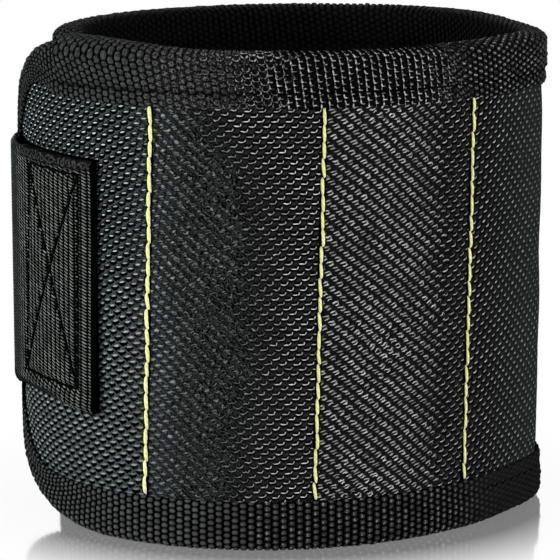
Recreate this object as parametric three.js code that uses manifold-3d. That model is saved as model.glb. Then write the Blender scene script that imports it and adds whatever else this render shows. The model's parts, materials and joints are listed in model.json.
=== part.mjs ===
// A magnetic wristband: a padded cuff with flat magnets sewn into its columns and a hook-and-loop strap.
// Each soft layer is drawn as its flat pattern and rolled round one plan curve, as the real band is:
//   s runs along the band from its strap end, z runs up the band, d runs out through its layers.
// Millimetres, +Z up, resting on its lower rim. Azimuth 0 is the front (-Y), and it grows towards +X.

import * as THREE from "three";
import { mergeVertices } from "three/addons/utils/BufferGeometryUtils.js";
import Module from "manifold-3d";

const wasm = await Module();
wasm.setup();

// Plan curve: a slightly oval spiral, measured on the outer face of the shell
const WRAP_RADIUS = 50.334;
const OVAL = 2;
const OVAL_AZIMUTH = -54;
const STRAP_END_AZIMUTH = -86.3;
const BENDS = [
  { azimuth: 78, out: 1.5, spread: 11 },
  { azimuth: 107, out: -3, spread: 20 },
];
const TURN_AHEAD = 440;
const TURN_BEHIND = 120;
const PLAN_DIVISIONS = 4000;

// Flat pattern of the band
const BAND_HEIGHT = 90;
const TONGUE_LENGTH = 50.3;
const COLUMN_PITCH = 31.4;
const COLUMN_COUNT = 5;
const LOOP_END_LENGTH = 107;
const TONGUE_TOP = { straight: 22.3, cornerUp: 36 };
const TONGUE_BOTTOM = { straight: 8.3, cornerUp: 26 };
const LOOP_END_CORNER = { along: 20, up: 20 };
const FOLD_DIVIDERS = [0, 2, 4];

// Layers, from the outside in
const SHELL_THICK = 0.8;
const CORE_THICK = 2.2;
const LINING_THICK = 1.3;
const LAYER_GAP = 0.3;
const LAP_CLEARANCE = 0.3;

// Edge binding: one tape folded over the rim
const TAPE_THICK = 0.7;
const BINDING_WIDTH = 10;
const BINDING_CHAMFER = 0.8;

// Magnets and the foam strips that carry them
const MAGNET = { width: 12, height: 18, thick: 1.6 };
const MAGNET_ROWS = 3;
const MAGNET_ROW_PITCH = 21;
const MAGNET_CLEARANCE = 0.3;
const POCKET_MARGIN = 2;
const CORE_EDGE_INSET = 3;

// Divider stitching
const STITCH_LENGTH = 3.3;
const THREAD_WIDTH = 0.7;
const THREAD_THICK = 0.6;
const THREAD_NECK = 0.55;
const THREAD_GAP = 0.2;
const SEAM_GAP = 0.6;

// Strap, with its hook patch and the loop patch that it closes on
const STRAP_WIDTH = 46;
const STRAP_LIFT = 2.5;
const STRAP_THICK = 1;
const STRAP_TO_DIVIDER = 11.3;
const STRAP_FREE_LENGTH = 62;
const STRAP_DROP = { from: 0, to: 20 };
const STRAP_TIP_CORNER = 9;
const STRAP_FOLD_STEP = 0.4;
const HOOK_PATCH = { afterDrop: 4, beforeTip: 8, inset: 3, thick: 0.8 };
const LOOP_PATCH = { afterDivider: 6, beforeEnd: 16, height: 60, thick: 0.8 };
const BOX_STITCH = { inset: 3, along: 17, height: 37, width: 0.8, thick: 0.35 };

// How finely the curves are faceted
const FACET = 5.4;
const CORNER_STEPS = 8;

// Where each layer lies, as d measured outwards from the shell's outer face
function layerUnder(outer, thick) {
  return { outer, inner: outer - thick };
}
const shell = layerUnder(0, SHELL_THICK);
const core = layerUnder(shell.inner - LAYER_GAP, CORE_THICK);
const lining = layerUnder(core.inner - LAYER_GAP, LINING_THICK);
const tapeOutside = layerUnder(LAYER_GAP + TAPE_THICK, TAPE_THICK);
const tapeInside = layerUnder(lining.inner - LAYER_GAP, TAPE_THICK);
const lapStep = tapeOutside.outer - tapeInside.inner + LAP_CLEARANCE;
const hingeOut = tapeOutside.outer + THREAD_GAP;
const rimInset = TAPE_THICK + LAYER_GAP;

// Where the sewn dividers cross the flat pattern
const dividers = Array.from({ length: COLUMN_COUNT + 1 }, (_, k) => TONGUE_LENGTH + k * COLUMN_PITCH);
const loopEndStart = dividers[COLUMN_COUNT];
const bandLength = loopEndStart + LOOP_END_LENGTH;
const topCorner = { along: TONGUE_LENGTH - TONGUE_TOP.straight, up: TONGUE_TOP.cornerUp };
const bottomCorner = { along: TONGUE_LENGTH - TONGUE_BOTTOM.straight, up: TONGUE_BOTTOM.cornerUp };

// The plan curve, from behind the strap end to past the loop end. The band turns sharply between two columns at
// the right, where it bends out and then in, and runs nearly straight along the magnets on either side.
class CuffPlan extends THREE.Curve {
  getPoint(t, target = new THREE.Vector3()) {
    const turned = -TURN_BEHIND + t * (TURN_AHEAD + TURN_BEHIND);
    const degrees = STRAP_END_AZIMUTH + turned;
    const azimuth = THREE.MathUtils.degToRad(degrees);
    const oval = OVAL * Math.cos(2 * THREE.MathUtils.degToRad(degrees - OVAL_AZIMUTH));
    const bent = BENDS.map((bend) => bend.out * Math.exp(-(((degrees - bend.azimuth) / bend.spread) ** 2)));
    const radius = bent.reduce((sum, out) => sum + out, WRAP_RADIUS - (lapStep * turned) / 360 + oval);
    return target.set(radius * Math.sin(azimuth), -radius * Math.cos(azimuth), 0);
  }
}
const plan = new CuffPlan();
plan.arcLengthDivisions = PLAN_DIVISIONS;
const planLength = plan.getLength();
const strapEndStep = Math.round((PLAN_DIVISIONS * TURN_BEHIND) / (TURN_AHEAD + TURN_BEHIND));
const strapEndAt = plan.getLengths()[strapEndStep];

// The plan's point and directions at s
function planFrame(s) {
  const u = (strapEndAt + s) / planLength;
  const tangent = plan.getTangentAt(u).normalize();
  return { point: plan.getPointAt(u), tangent, outward: new THREE.Vector3(tangent.y, -tangent.x, 0) };
}

// A point of the flat pattern, rolled up
function wrap(s, z, d) {
  const { point, outward } = planFrame(s);
  return point.addScaledVector(outward, d).setZ(z);
}

// Values of s from one end of a piece to the other, shared by every layer so that their facets stay parallel
function evenly(from, to) {
  const steps = Math.max(1, Math.round(Math.abs(to - from) / FACET));
  return Array.from({ length: steps + 1 }, (_, k) => from + ((to - from) * k) / steps);
}
const sections = [0, ...dividers, bandLength];
const grid = sections.slice(1).flatMap((to, k) => evenly(sections[k], to).slice(k ? 1 : 0));
function stationsBetween(from, to) {
  const clear = FACET / 10;
  return [from, ...grid.filter((s) => s > from + clear && s < to - clear), to];
}

// A plate bent round the plan. section(s) gives its lower and upper edge and its inner and outer face there.
function bentPlate(stations, section) {
  const steps = stations.length - 1;
  const plate = new THREE.BoxGeometry(1, 1, 1, steps, 1, 1);
  const position = plate.getAttribute("position");
  for (let i = 0; i < position.count; i++) {
    const s = stations[Math.round((position.getX(i) + 0.5) * steps)];
    const { lo, hi, inner, outer } = section(s);
    const at = wrap(s, position.getY(i) > 0 ? hi : lo, position.getZ(i) > 0 ? outer : inner);
    position.setXYZ(i, at.x, at.y, at.z);
  }
  return plate;
}

// Height of an elliptical corner's edge above its square corner's lower end, at a distance in from the end
function cornerRise(corner, fromEnd) {
  const across = Math.min(1, Math.max(0, 1 - fromEnd / corner.along));
  return corner.up * Math.sqrt(1 - across * across);
}

// Lower and upper edge of the band's outline at s, drawn in by an inset
function bandEdges(s, inset) {
  const top = BAND_HEIGHT - inset;
  const shrink = (corner) => ({ along: corner.along - inset, up: corner.up - inset });
  if (s < TONGUE_LENGTH) {
    const below = shrink(bottomCorner);
    const above = shrink(topCorner);
    return {
      lo: inset + below.up - cornerRise(below, s - inset),
      hi: top - above.up + cornerRise(above, s - inset),
    };
  }
  const end = shrink(LOOP_END_CORNER);
  const short = end.up - cornerRise(end, bandLength - s - inset);
  return { lo: inset + short, hi: top - short };
}

// One layer of the band between two places on it
function layerPlate(from, to, layer, inset) {
  return bentPlate(stationsBetween(from, to), (s) => ({ ...bandEdges(s, inset), ...layer }));
}

// The folded tape's section: w runs in from the rim, d out through the layers
const tapeShape = new THREE.Shape(
  [
    [BINDING_WIDTH, tapeOutside.outer],
    [BINDING_WIDTH / 2, tapeOutside.outer],
    [BINDING_CHAMFER, tapeOutside.outer],
    [0, tapeOutside.outer - BINDING_CHAMFER],
    [0, tapeInside.inner + BINDING_CHAMFER],
    [BINDING_CHAMFER, tapeInside.inner],
    [BINDING_WIDTH / 2, tapeInside.inner],
    [BINDING_WIDTH, tapeInside.inner],
    [BINDING_WIDTH, tapeInside.outer],
    [BINDING_WIDTH / 2, tapeInside.outer],
    [TAPE_THICK, tapeInside.outer],
    [TAPE_THICK, tapeOutside.inner],
    [BINDING_WIDTH / 2, tapeOutside.inner],
    [BINDING_WIDTH, tapeOutside.inner],
  ].map(([w, d]) => new THREE.Vector2(w, d)),
);

// The tape swept along a path of rim points, each with the direction in from the rim
function sweptTape(path) {
  const steps = path.length - 1;
  const tape = new THREE.ExtrudeGeometry(tapeShape, { steps, depth: 1, bevelEnabled: false });
  const position = tape.getAttribute("position");
  for (let i = 0; i < position.count; i++) {
    const rim = path[Math.round(position.getZ(i) * steps)];
    const w = position.getX(i);
    const at = wrap(rim.s + w * rim.inAlong, rim.z + w * rim.inUp, position.getY(i));
    position.setXYZ(i, at.x, at.y, at.z);
  }
  return tape;
}

// Rim paths run anticlockwise as seen from outside: along the bottom, up the loop end, back along the top
function bottomRim(from, to) {
  return stationsBetween(from, to).map((s) => ({ s, z: 0, inAlong: 0, inUp: 1 }));
}
function topRim(from, to) {
  return stationsBetween(from, to).reverse().map((s) => ({ s, z: BAND_HEIGHT, inAlong: 0, inUp: -1 }));
}

// A quarter ellipse of rim about a centre, from one angle to another, in degrees from the +s direction
function cornerRim(centre, corner, fromAngle, toAngle) {
  return Array.from({ length: CORNER_STEPS + 1 }, (_, k) => {
    const angle = THREE.MathUtils.degToRad(fromAngle + ((toAngle - fromAngle) * k) / CORNER_STEPS);
    const across = Math.cos(angle);
    const upward = Math.sin(angle);
    const inward = new THREE.Vector2(-across / corner.along, -upward / corner.up).normalize();
    return {
      s: centre.s + corner.along * across,
      z: centre.z + corner.up * upward,
      inAlong: inward.x,
      inUp: inward.y,
    };
  });
}

function tongueRim(to) {
  return [
    ...topRim(topCorner.along, to).slice(0, -1),
    ...cornerRim({ s: topCorner.along, z: BAND_HEIGHT - topCorner.up }, topCorner, 90, 180),
    ...cornerRim({ s: bottomCorner.along, z: bottomCorner.up }, bottomCorner, 180, 270),
    ...bottomRim(bottomCorner.along, to).slice(1),
  ];
}

function loopEndRim(from) {
  const corner = LOOP_END_CORNER;
  const turn = bandLength - corner.along;
  return [
    ...bottomRim(from, turn).slice(0, -1),
    ...cornerRim({ s: turn, z: corner.up }, corner, 270, 360),
    ...cornerRim({ s: turn, z: BAND_HEIGHT - corner.up }, corner, 0, 90),
    ...topRim(from, turn).slice(1),
  ];
}

// Boolean helpers
function solidOf(geometry) {
  const bare = geometry.clone();
  bare.deleteAttribute("normal");
  bare.deleteAttribute("uv");
  const merged = mergeVertices(bare, 1e-4);
  return new wasm.Manifold(
    new wasm.Mesh({
      numProp: 3,
      vertProperties: merged.getAttribute("position").array,
      triVerts: new Uint32Array(merged.index.array),
    }),
  );
}
function geometryOf(solid) {
  const { vertProperties, triVerts } = solid.getMesh();
  const geometry = new THREE.BufferGeometry();
  geometry.setAttribute("position", new THREE.BufferAttribute(vertProperties, 3));
  geometry.setIndex(new THREE.BufferAttribute(triVerts, 1));
  return geometry;
}

// Where a magnet sits: flat, on the middle of its column, sharing the room that the curve leaves it
function magnetPlace(column, row) {
  const s = dividers[column] + COLUMN_PITCH / 2;
  const [start, middle, end] = [-0.5, 0, 0.5].map((share) => wrap(s + share * MAGNET.width, 0, 0));
  const sag = start.add(end).divideScalar(2).distanceTo(middle);
  const d = (core.outer + core.inner - sag) / 2;
  const { tangent } = planFrame(s);
  return {
    position: wrap(s, BAND_HEIGHT / 2 + (row - (MAGNET_ROWS - 1) / 2) * MAGNET_ROW_PITCH, d),
    turn: Math.atan2(tangent.y, tangent.x),
  };
}

// The foam strip of one column, with a window round each of its magnets
function carrierGeometry(column) {
  const from = dividers[column] + POCKET_MARGIN;
  const to = dividers[column + 1] - POCKET_MARGIN;
  let strip = solidOf(layerPlate(from, to, core, CORE_EDGE_INSET));
  for (let row = 0; row < MAGNET_ROWS; row++) {
    const { position, turn } = magnetPlace(column, row);
    const window = new THREE.BoxGeometry(
      MAGNET.width + 2 * MAGNET_CLEARANCE,
      4 * CORE_THICK,
      MAGNET.height + 2 * MAGNET_CLEARANCE,
    );
    window.rotateZ(turn).translate(position.x, position.y, position.z);
    strip = strip.subtract(solidOf(window));
  }
  return geometryOf(strip);
}

// One divider's thread: a strand that swells in each stitch and narrows where it dives through the shell
function dividerThread(s) {
  const lowest = BINDING_WIDTH + 2 * THREAD_GAP;
  const length = BAND_HEIGHT - 2 * lowest;
  const halfStitches = 2 * Math.round(length / STITCH_LENGTH);
  const strand = new THREE.BoxGeometry(1, 1, 1, 1, halfStitches, 1);
  const position = strand.getAttribute("position");
  for (let i = 0; i < position.count; i++) {
    const along = Math.round((position.getY(i) + 0.5) * halfStitches);
    const swell = along % 2 ? 1 : THREAD_NECK;
    const atS = s + position.getX(i) * THREAD_WIDTH * swell;
    const atD = THREAD_GAP + (position.getZ(i) + 0.5) * THREAD_THICK * swell;
    const at = wrap(atS, lowest + (length * along) / halfStitches, atD);
    position.setXYZ(i, at.x, at.y, at.z);
  }
  return strand;
}

// Strap: its height and sewn length, and how far out its inner face lies along its free length
const strapSewn = TONGUE_LENGTH - STRAP_TO_DIVIDER;
const strapLow = BAND_HEIGHT / 2 + STRAP_LIFT - STRAP_WIDTH / 2;
const strapHigh = strapLow + STRAP_WIDTH;
const strapInner = tapeOutside.outer + LAYER_GAP;
const loopFace = LAYER_GAP + LOOP_PATCH.thick;
const hookInner = loopFace - lapStep + LAYER_GAP;
const hookLayer = layerUnder(hookInner + HOOK_PATCH.thick, HOOK_PATCH.thick);
const strapClosed = hookLayer.outer + LAYER_GAP;
function strapFaceAt(beyond) {
  const dropped = THREE.MathUtils.smoothstep(beyond, STRAP_DROP.from, STRAP_DROP.to);
  return strapInner + (strapClosed - strapInner) * dropped;
}

// How far in from the tongue's end its tape reaches, over a stretch of its height
function tapeReach(low, high) {
  const innerEdge = tongueRim(TONGUE_LENGTH).map((rim) => ({
    s: rim.s + BINDING_WIDTH * rim.inAlong,
    z: rim.z + BINDING_WIDTH * rim.inUp,
  }));
  const beside = innerEdge.filter(({ z }) => z > low - FACET && z < high + FACET);
  return Math.max(...beside.map(({ s }) => s));
}

// The sewn part: single over the rim's tape, folded double beyond it so that it seats on the shell
function strapAnchorGeometry() {
  const fold = tapeReach(strapLow, strapHigh) + LAYER_GAP;
  const seat = fold + STRAP_FOLD_STEP;
  const stations = [...stationsBetween(0, fold), ...stationsBetween(seat, strapSewn)];
  return bentPlate(stations, (s) => ({
    lo: strapLow,
    hi: strapHigh,
    inner: s < seat ? strapInner : LAYER_GAP,
    outer: strapInner + STRAP_THICK,
  }));
}

// The free part, which drops off the tongue's end onto the loop patch, with a rounded tip
function strapFlapGeometry() {
  const tip = -STRAP_FREE_LENGTH;
  const corner = { along: STRAP_TIP_CORNER, up: STRAP_TIP_CORNER };
  const rounded = evenly(tip, tip + STRAP_TIP_CORNER).flatMap((s, k, all) =>
    k + 1 < all.length ? [s, (s + all[k + 1]) / 2] : [s],
  );
  const straight = evenly(tip + STRAP_TIP_CORNER, -SEAM_GAP).slice(1);
  return bentPlate([...rounded, ...straight], (s) => {
    const short = corner.up - cornerRise(corner, s - tip);
    const inner = strapFaceAt(-s);
    return { lo: strapLow + short, hi: strapHigh - short, inner, outer: inner + STRAP_THICK };
  });
}

function hookPatchGeometry() {
  const from = HOOK_PATCH.beforeTip - STRAP_FREE_LENGTH;
  const to = -STRAP_DROP.to - HOOK_PATCH.afterDrop;
  return bentPlate(evenly(from, to), () => ({
    lo: strapLow + HOOK_PATCH.inset,
    hi: strapHigh - HOOK_PATCH.inset,
    ...hookLayer,
  }));
}

function loopPatchGeometry() {
  const from = loopEndStart + LOOP_PATCH.afterDivider;
  const to = bandLength - LOOP_PATCH.beforeEnd;
  return bentPlate(stationsBetween(from, to), () => ({
    lo: (BAND_HEIGHT - LOOP_PATCH.height) / 2,
    hi: (BAND_HEIGHT + LOOP_PATCH.height) / 2,
    inner: LAYER_GAP,
    outer: loopFace,
  }));
}

// The strap's box stitch: a rectangle of thread with both diagonals, lying on the sewn part
function boxStitchGeometry() {
  const low = (strapLow + strapHigh - BOX_STITCH.height) / 2;
  const high = low + BOX_STITCH.height;
  const { along, width, thick } = BOX_STITCH;
  const to = strapSewn - BOX_STITCH.inset;
  const from = to - along;
  const runs = [
    [from, low, to, low],
    [to, low, to, high],
    [to, high, from, high],
    [from, high, from, low],
    [from, low, to, high],
    [to, low, from, high],
  ];
  const face = strapInner + STRAP_THICK + THREAD_GAP;
  const bars = runs.map(([s0, z0, s1, z1]) => {
    const length = Math.hypot(s1 - s0, z1 - z0);
    const steps = Math.max(1, Math.round(length / FACET));
    const bar = new THREE.BoxGeometry(length + width, width, thick, steps, 1, 1);
    bar.rotateZ(Math.atan2(z1 - z0, s1 - s0)).translate((s0 + s1) / 2, (z0 + z1) / 2, face + thick / 2);
    return solidOf(bar);
  });
  const stitch = geometryOf(bars.reduce((joined, bar) => joined.add(bar)));
  const position = stitch.getAttribute("position");
  for (let i = 0; i < position.count; i++) {
    const at = wrap(position.getX(i), position.getY(i), position.getZ(i));
    position.setXYZ(i, at.x, at.y, at.z);
  }
  return stitch;
}

// Materials
function finish(color, roughness, metalness = 0) {
  return new THREE.MeshStandardMaterial({ color, roughness, metalness });
}
const materials = {
  shell: finish(0x1b1d1f, 0.55),
  lining: finish(0x0f1011, 0.95),
  foam: finish(0x3a3b3d, 0.9),
  tape: finish(0x1c1c1d, 0.75),
  strap: finish(0x222220, 0.7),
  hook: finish(0x141415, 0.6),
  loop: finish(0x161617, 1),
  yellowThread: finish(0xe9ec86, 0.6),
  blackThread: finish(0x0d0d0d, 0.6),
  magnet: finish(0xb9bcc0, 0.25, 1),
};
function piece(body, name, geometry, material) {
  const mesh = new THREE.Mesh(geometry, material);
  mesh.name = name;
  body.add(mesh);
  return mesh;
}

// A body that turns about an upright line through a place on the band, as sewn cloth folds along a seam
function hingedBody(parent, name, s, d) {
  const pivot = new THREE.Group();
  pivot.position.copy(wrap(s, 0, d));
  const body = new THREE.Group();
  body.name = name;
  body.position.copy(pivot.position).negate();
  pivot.add(body);
  parent.add(pivot);
  return body;
}

// A stretch of band: its shell and its lining
function addCloth(body, name, from, to) {
  piece(body, `shell_${name}`, layerPlate(from, to, shell, rimInset), materials.shell);
  piece(body, `lining_${name}`, layerPlate(from, to, lining, rimInset), materials.lining);
}

// One column of magnets in its foam strip
function addColumn(body, column) {
  piece(body, `magnet_carrier_${column + 1}`, carrierGeometry(column), materials.foam);
  for (let row = 0; row < MAGNET_ROWS; row++) {
    const { position, turn } = magnetPlace(column, row);
    const block = new THREE.BoxGeometry(MAGNET.width, MAGNET.thick, MAGNET.height);
    const magnet = piece(body, `magnet_${column + 1}_${row + 1}`, block, materials.magnet);
    magnet.position.copy(position);
    magnet.rotation.z = turn;
  }
}

function addDivider(body, k) {
  piece(body, `divider_stitch_${k + 1}`, dividerThread(dividers[k]), materials.yellowThread);
}

// The band folds along some of its dividers
const [tongueFold, sideFold, backFold] = FOLD_DIVIDERS.map((k) => dividers[k]);
const halfSeam = SEAM_GAP / 2;

const cuff = new THREE.Group();
const frontPanel = new THREE.Group();
frontPanel.name = "front_panel";
cuff.add(frontPanel);
const strapEnd = hingedBody(frontPanel, "strap_end", tongueFold, hingeOut);
const strapFlap = hingedBody(strapEnd, "strap_flap", 0, strapInner + STRAP_THICK);
const sidePanel = hingedBody(frontPanel, "side_panel", sideFold, hingeOut);
const loopEnd = hingedBody(sidePanel, "loop_end", backFold, hingeOut);

// Front panel: the first two columns
const frontSpan = [tongueFold + halfSeam, sideFold - halfSeam];
addCloth(frontPanel, "front", ...frontSpan);
piece(frontPanel, "binding_front_top", sweptTape(topRim(...frontSpan)), materials.tape);
piece(frontPanel, "binding_front_bottom", sweptTape(bottomRim(...frontSpan)), materials.tape);
addColumn(frontPanel, 0);
addColumn(frontPanel, 1);
addDivider(frontPanel, 0);
addDivider(frontPanel, 1);
addDivider(frontPanel, 2);

// Side panel: the next two columns
const sideSpan = [sideFold + halfSeam, backFold - halfSeam];
addCloth(sidePanel, "side", ...sideSpan);
piece(sidePanel, "binding_side_top", sweptTape(topRim(...sideSpan)), materials.tape);
piece(sidePanel, "binding_side_bottom", sweptTape(bottomRim(...sideSpan)), materials.tape);
addColumn(sidePanel, 2);
addColumn(sidePanel, 3);
addDivider(sidePanel, 3);
addDivider(sidePanel, 4);

// Loop end: the last column and the loop patch
addCloth(loopEnd, "loop_end", backFold + halfSeam, bandLength - rimInset);
piece(loopEnd, "binding_loop_end", sweptTape(loopEndRim(backFold + halfSeam)), materials.tape);
addColumn(loopEnd, 4);
addDivider(loopEnd, 5);
const foamEnd = bandLength - CORE_EDGE_INSET;
const loopFoam = layerPlate(loopEndStart + POCKET_MARGIN, foamEnd, core, CORE_EDGE_INSET);
piece(loopEnd, "foam_loop_end", loopFoam, materials.foam);
piece(loopEnd, "loop_patch", loopPatchGeometry(), materials.loop);

// Strap end: the tapered tongue, with the strap's sewn part on it
addCloth(strapEnd, "strap_end", rimInset, tongueFold - halfSeam);
piece(strapEnd, "binding_strap_end", sweptTape(tongueRim(tongueFold - halfSeam)), materials.tape);
const tongueFoam = layerPlate(CORE_EDGE_INSET, tongueFold - POCKET_MARGIN, core, CORE_EDGE_INSET);
piece(strapEnd, "foam_strap_end", tongueFoam, materials.foam);
piece(strapEnd, "strap_anchor", strapAnchorGeometry(), materials.strap);
piece(strapEnd, "strap_box_stitch", boxStitchGeometry(), materials.blackThread);

// Strap flap: the free part of the strap, with its hook patch
piece(strapFlap, "strap_flap", strapFlapGeometry(), materials.strap);
piece(strapFlap, "hook_patch", hookPatchGeometry(), materials.hook);

// The origin is at the middle of the whole band's footprint, on the surface that it rests on
const footprint = new THREE.Box3().setFromObject(cuff);
const middle = footprint.getCenter(new THREE.Vector3());
cuff.position.set(-middle.x, -middle.y, -footprint.min.z);

export default cuff;
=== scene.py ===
"""Looks of the magnetic wristband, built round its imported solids.

Every soft piece is drawn on the band's flat pattern and rolled round the same plan curve as the solids:
s runs along the band from its strap end, z up the band and d out through its layers, all in millimetres.
"""

import json
import math
from types import SimpleNamespace

import bpy
import numpy as np
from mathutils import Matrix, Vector


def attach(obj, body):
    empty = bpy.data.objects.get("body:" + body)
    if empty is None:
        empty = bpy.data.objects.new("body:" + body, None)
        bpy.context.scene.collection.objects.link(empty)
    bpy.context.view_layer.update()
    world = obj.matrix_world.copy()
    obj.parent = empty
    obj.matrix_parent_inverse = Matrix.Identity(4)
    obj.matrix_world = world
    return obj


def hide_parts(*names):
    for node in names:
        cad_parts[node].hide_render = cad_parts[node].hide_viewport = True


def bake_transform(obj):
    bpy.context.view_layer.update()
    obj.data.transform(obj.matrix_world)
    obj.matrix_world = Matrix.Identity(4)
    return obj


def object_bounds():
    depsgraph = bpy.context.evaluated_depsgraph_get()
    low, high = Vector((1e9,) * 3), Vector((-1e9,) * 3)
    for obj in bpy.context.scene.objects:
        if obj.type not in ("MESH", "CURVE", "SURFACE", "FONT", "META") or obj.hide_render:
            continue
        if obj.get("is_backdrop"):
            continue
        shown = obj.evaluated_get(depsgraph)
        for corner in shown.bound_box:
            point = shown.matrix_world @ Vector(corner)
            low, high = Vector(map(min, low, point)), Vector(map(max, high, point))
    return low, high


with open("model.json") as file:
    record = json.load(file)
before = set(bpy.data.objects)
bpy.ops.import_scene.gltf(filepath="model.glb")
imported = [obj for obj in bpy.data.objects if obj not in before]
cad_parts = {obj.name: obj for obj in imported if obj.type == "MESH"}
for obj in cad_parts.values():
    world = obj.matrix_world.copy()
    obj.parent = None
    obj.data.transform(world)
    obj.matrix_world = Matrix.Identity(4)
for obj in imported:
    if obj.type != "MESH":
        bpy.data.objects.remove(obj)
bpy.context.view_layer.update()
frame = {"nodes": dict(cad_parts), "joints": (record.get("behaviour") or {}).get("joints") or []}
scene = bpy.context.scene
random = np.random.default_rng(11)

# Flat pattern and plan curve, as the solids have them
WRAP_RADIUS = 50.334
LAP_STEP = 7.2
OVAL, OVAL_AZIMUTH = 2.0, -54.0
STRAP_END_AZIMUTH = -86.3
BENDS = ((78.0, 1.5, 11.0), (107.0, -3.0, 20.0))
HINGE_OUT = 1.2
BAND_HEIGHT, BAND_LENGTH = 90.0, 314.3
MID_HEIGHT = BAND_HEIGHT / 2
FIRST_DIVIDER, DIVIDER_SPACING = 50.3, 31.4
DIVIDERS = FIRST_DIVIDER + DIVIDER_SPACING * np.arange(6)
LINE_SHIFT, LINE_LEAN = 0.15, 0.0243
FOLD_HALF = 9.0

# Rounded corners: the middle's s and z and the two radii, then which way along and up each one faces
LOOP_END_CORNER = 20.0
LOOP_END_FROM = BAND_LENGTH - LOOP_END_CORNER
TONGUE_TOP = (28.0, 54.0, 28.0, 36.0)
TONGUE_BOTTOM = (42.0, 26.0, 42.0, 26.0)
LOOP_END_BOTTOM = (LOOP_END_FROM, LOOP_END_CORNER, LOOP_END_CORNER, LOOP_END_CORNER)
LOOP_END_TOP = (LOOP_END_FROM, BAND_HEIGHT - LOOP_END_CORNER, LOOP_END_CORNER, LOOP_END_CORNER)
CORNERS = (
    (TONGUE_TOP, -1, 1),
    (TONGUE_BOTTOM, -1, -1),
    (LOOP_END_BOTTOM, 1, -1),
    (LOOP_END_TOP, 1, 1),
)

# Padding: where its layers lie, and the shell's swell between the sewn lines
CLOTH_INSET = 1.0
SHELL_BACK, LINING_BACK, LINING_FACE = -2.45, -2.48, -4.75
QUILT_HIGH, QUILT_SUNK, QUILT_SPREAD = 0.75, 0.45, 3.6

# Edge binding: widths of its outside leg, and how much they lose round the tongue
TAPE_WIDTH, LOWER_TAPE_WIDTH = 10.0, 9.4
UPPER_NARROWING, LOWER_NARROWING, END_NARROWING = 4.2, 3.2, 3.3
SEAM_FROM_EDGE, SEAM_STITCH = 2.6, 2.6
FOLD_DEEP = 2.3
KNOT_HIGH = 0.34
FACE_OUT, FACE_IN = 0.66, -5.56
SPARE = 6.0

# Strap: its outline, how it hangs, and where its underside lies on the tongue and on the loop patch
STRAP_LOW, STRAP_HIGH = 24.7, 69.9
STRAP_SEWN, STRAP_TIP, STRAP_TIP_CORNER = 39.3, -62.0, 9.0
STRAP_SLOPE, SLOPE_FROM = 0.02, 10.0
TURN_DIP, TURN_HANG = 0.4, 1.3
CORNER_HANG, CORNER_FROM = 1.5, 24.0
STRAP_THICK = 0.85
SEWN_UNDER, FLAP_UNDER, DOUBLED_DEEP = 1.12, -4.62, 0.82

# The rows of each weave and the lengths of the stitches
WARP_PITCH, WEFT_PITCH, WARP_LEAN, WEFT_FALL = 1.25, 0.90, 0.20, 0.024
KNOT_PITCH, KNOT_ROW = 1.43, 1.20
RIB_PITCH, RIB_STROKE = 1.42, 0.60
KNIT_PITCH, KNIT_ROW = 1.5, 1.3
HOOK_PITCH, HOOK_ROW = 1.4, 1.2
STITCH, BOX_STITCH = 3.1, 2.1
THREAD_STEP = 10.0

# Where the looks of the shell and of its tape change along the band: these looks are painted highlights and
# shade, laid by place
TONGUE_FADES = (46.0, 63.0)
HOOKS_BEGIN, HOOKS_GROW = 67.5, (66.0, 79.5)
PAIRS_THIN = (95.0, 107.0)
SIDE_BEGINS, FAR_SIDE = 106.5, (116.0, 140.0)
SPECKS_GROW, RINGS_GROW = (46.0, 58.0), (56.0, 72.0)
LINES_BEGIN, FLECKS_GROW = 75.0, (98.0, 118.0)


# Rolling the flat pattern up
turned = np.linspace(-120, 440, 28001)
azimuth = np.radians(STRAP_END_AZIMUTH + turned)
radius = WRAP_RADIUS - LAP_STEP * turned / 360 + OVAL * np.cos(2 * (azimuth - math.radians(OVAL_AZIMUTH)))
for bend_azimuth, bend_out, bend_spread in BENDS:
    radius += bend_out * np.exp(-(((STRAP_END_AZIMUTH + turned - bend_azimuth) / bend_spread) ** 2))
plan = np.stack([radius * np.sin(azimuth), -radius * np.cos(azimuth)], 1)
steps = np.linalg.norm(np.diff(plan, axis=0), axis=1)
run = np.concatenate([[0], np.cumsum(steps)])
run -= np.interp(0, turned, run)
tangent = np.gradient(plan, axis=0)
tangent /= np.linalg.norm(tangent, axis=1)[:, None]
outward = np.stack([tangent[:, 1], -tangent[:, 0]], 1)


def on_plan(s, d):
    return [np.interp(s, run, plan[:, k]) + d * np.interp(s, run, outward[:, k]) for k in (0, 1)]


fold_place = next(j["pos_m"] for j in frame["joints"] if j["name"] == "cuff_open")
fold_x, fold_y = on_plan(DIVIDERS[0], HINGE_OUT)
SHIFT_X, SHIFT_Y = fold_place[0] * 1000 - fold_x, fold_place[1] * 1000 - fold_y


def wrap(s, z, d):
    """Points of the flat pattern in the part's frame, in metres."""
    s, z, d = np.broadcast_arrays(s, z, d)
    x, y = on_plan(s, d)
    return np.stack([x + SHIFT_X, y + SHIFT_Y, z], -1) / 1000


def smooth(low, high, x):
    """Eases from 0 at low to 1 at high."""
    t = np.clip((x - low) / (high - low), 0, 1)
    return t * t * (3 - 2 * t)


def dome(x, power=2):
    """A rounded top: 1 at the middle, falling to 0 at x = 1 on either side."""
    return np.sqrt(np.clip(1 - np.abs(x) ** power, 0, 1))


def line_at(k, z):
    """Where divider k is sewn at height z: the lines lean a little."""
    return DIVIDERS[k] + LINE_SHIFT + LINE_LEAN * (z - MID_HEIGHT)


def tape_width(s, z):
    """Width of the binding's outside leg, which narrows round the tongue and most at its end."""
    upper = TAPE_WIDTH - UPPER_NARROWING * (1 - smooth(12, 30, s))
    lower = LOWER_TAPE_WIDTH - LOWER_NARROWING * (1 - smooth(12, 40, s))
    return lower + (upper - lower) * smooth(30, 60, z) - END_NARROWING * (1 - smooth(0, 7, s))


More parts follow.
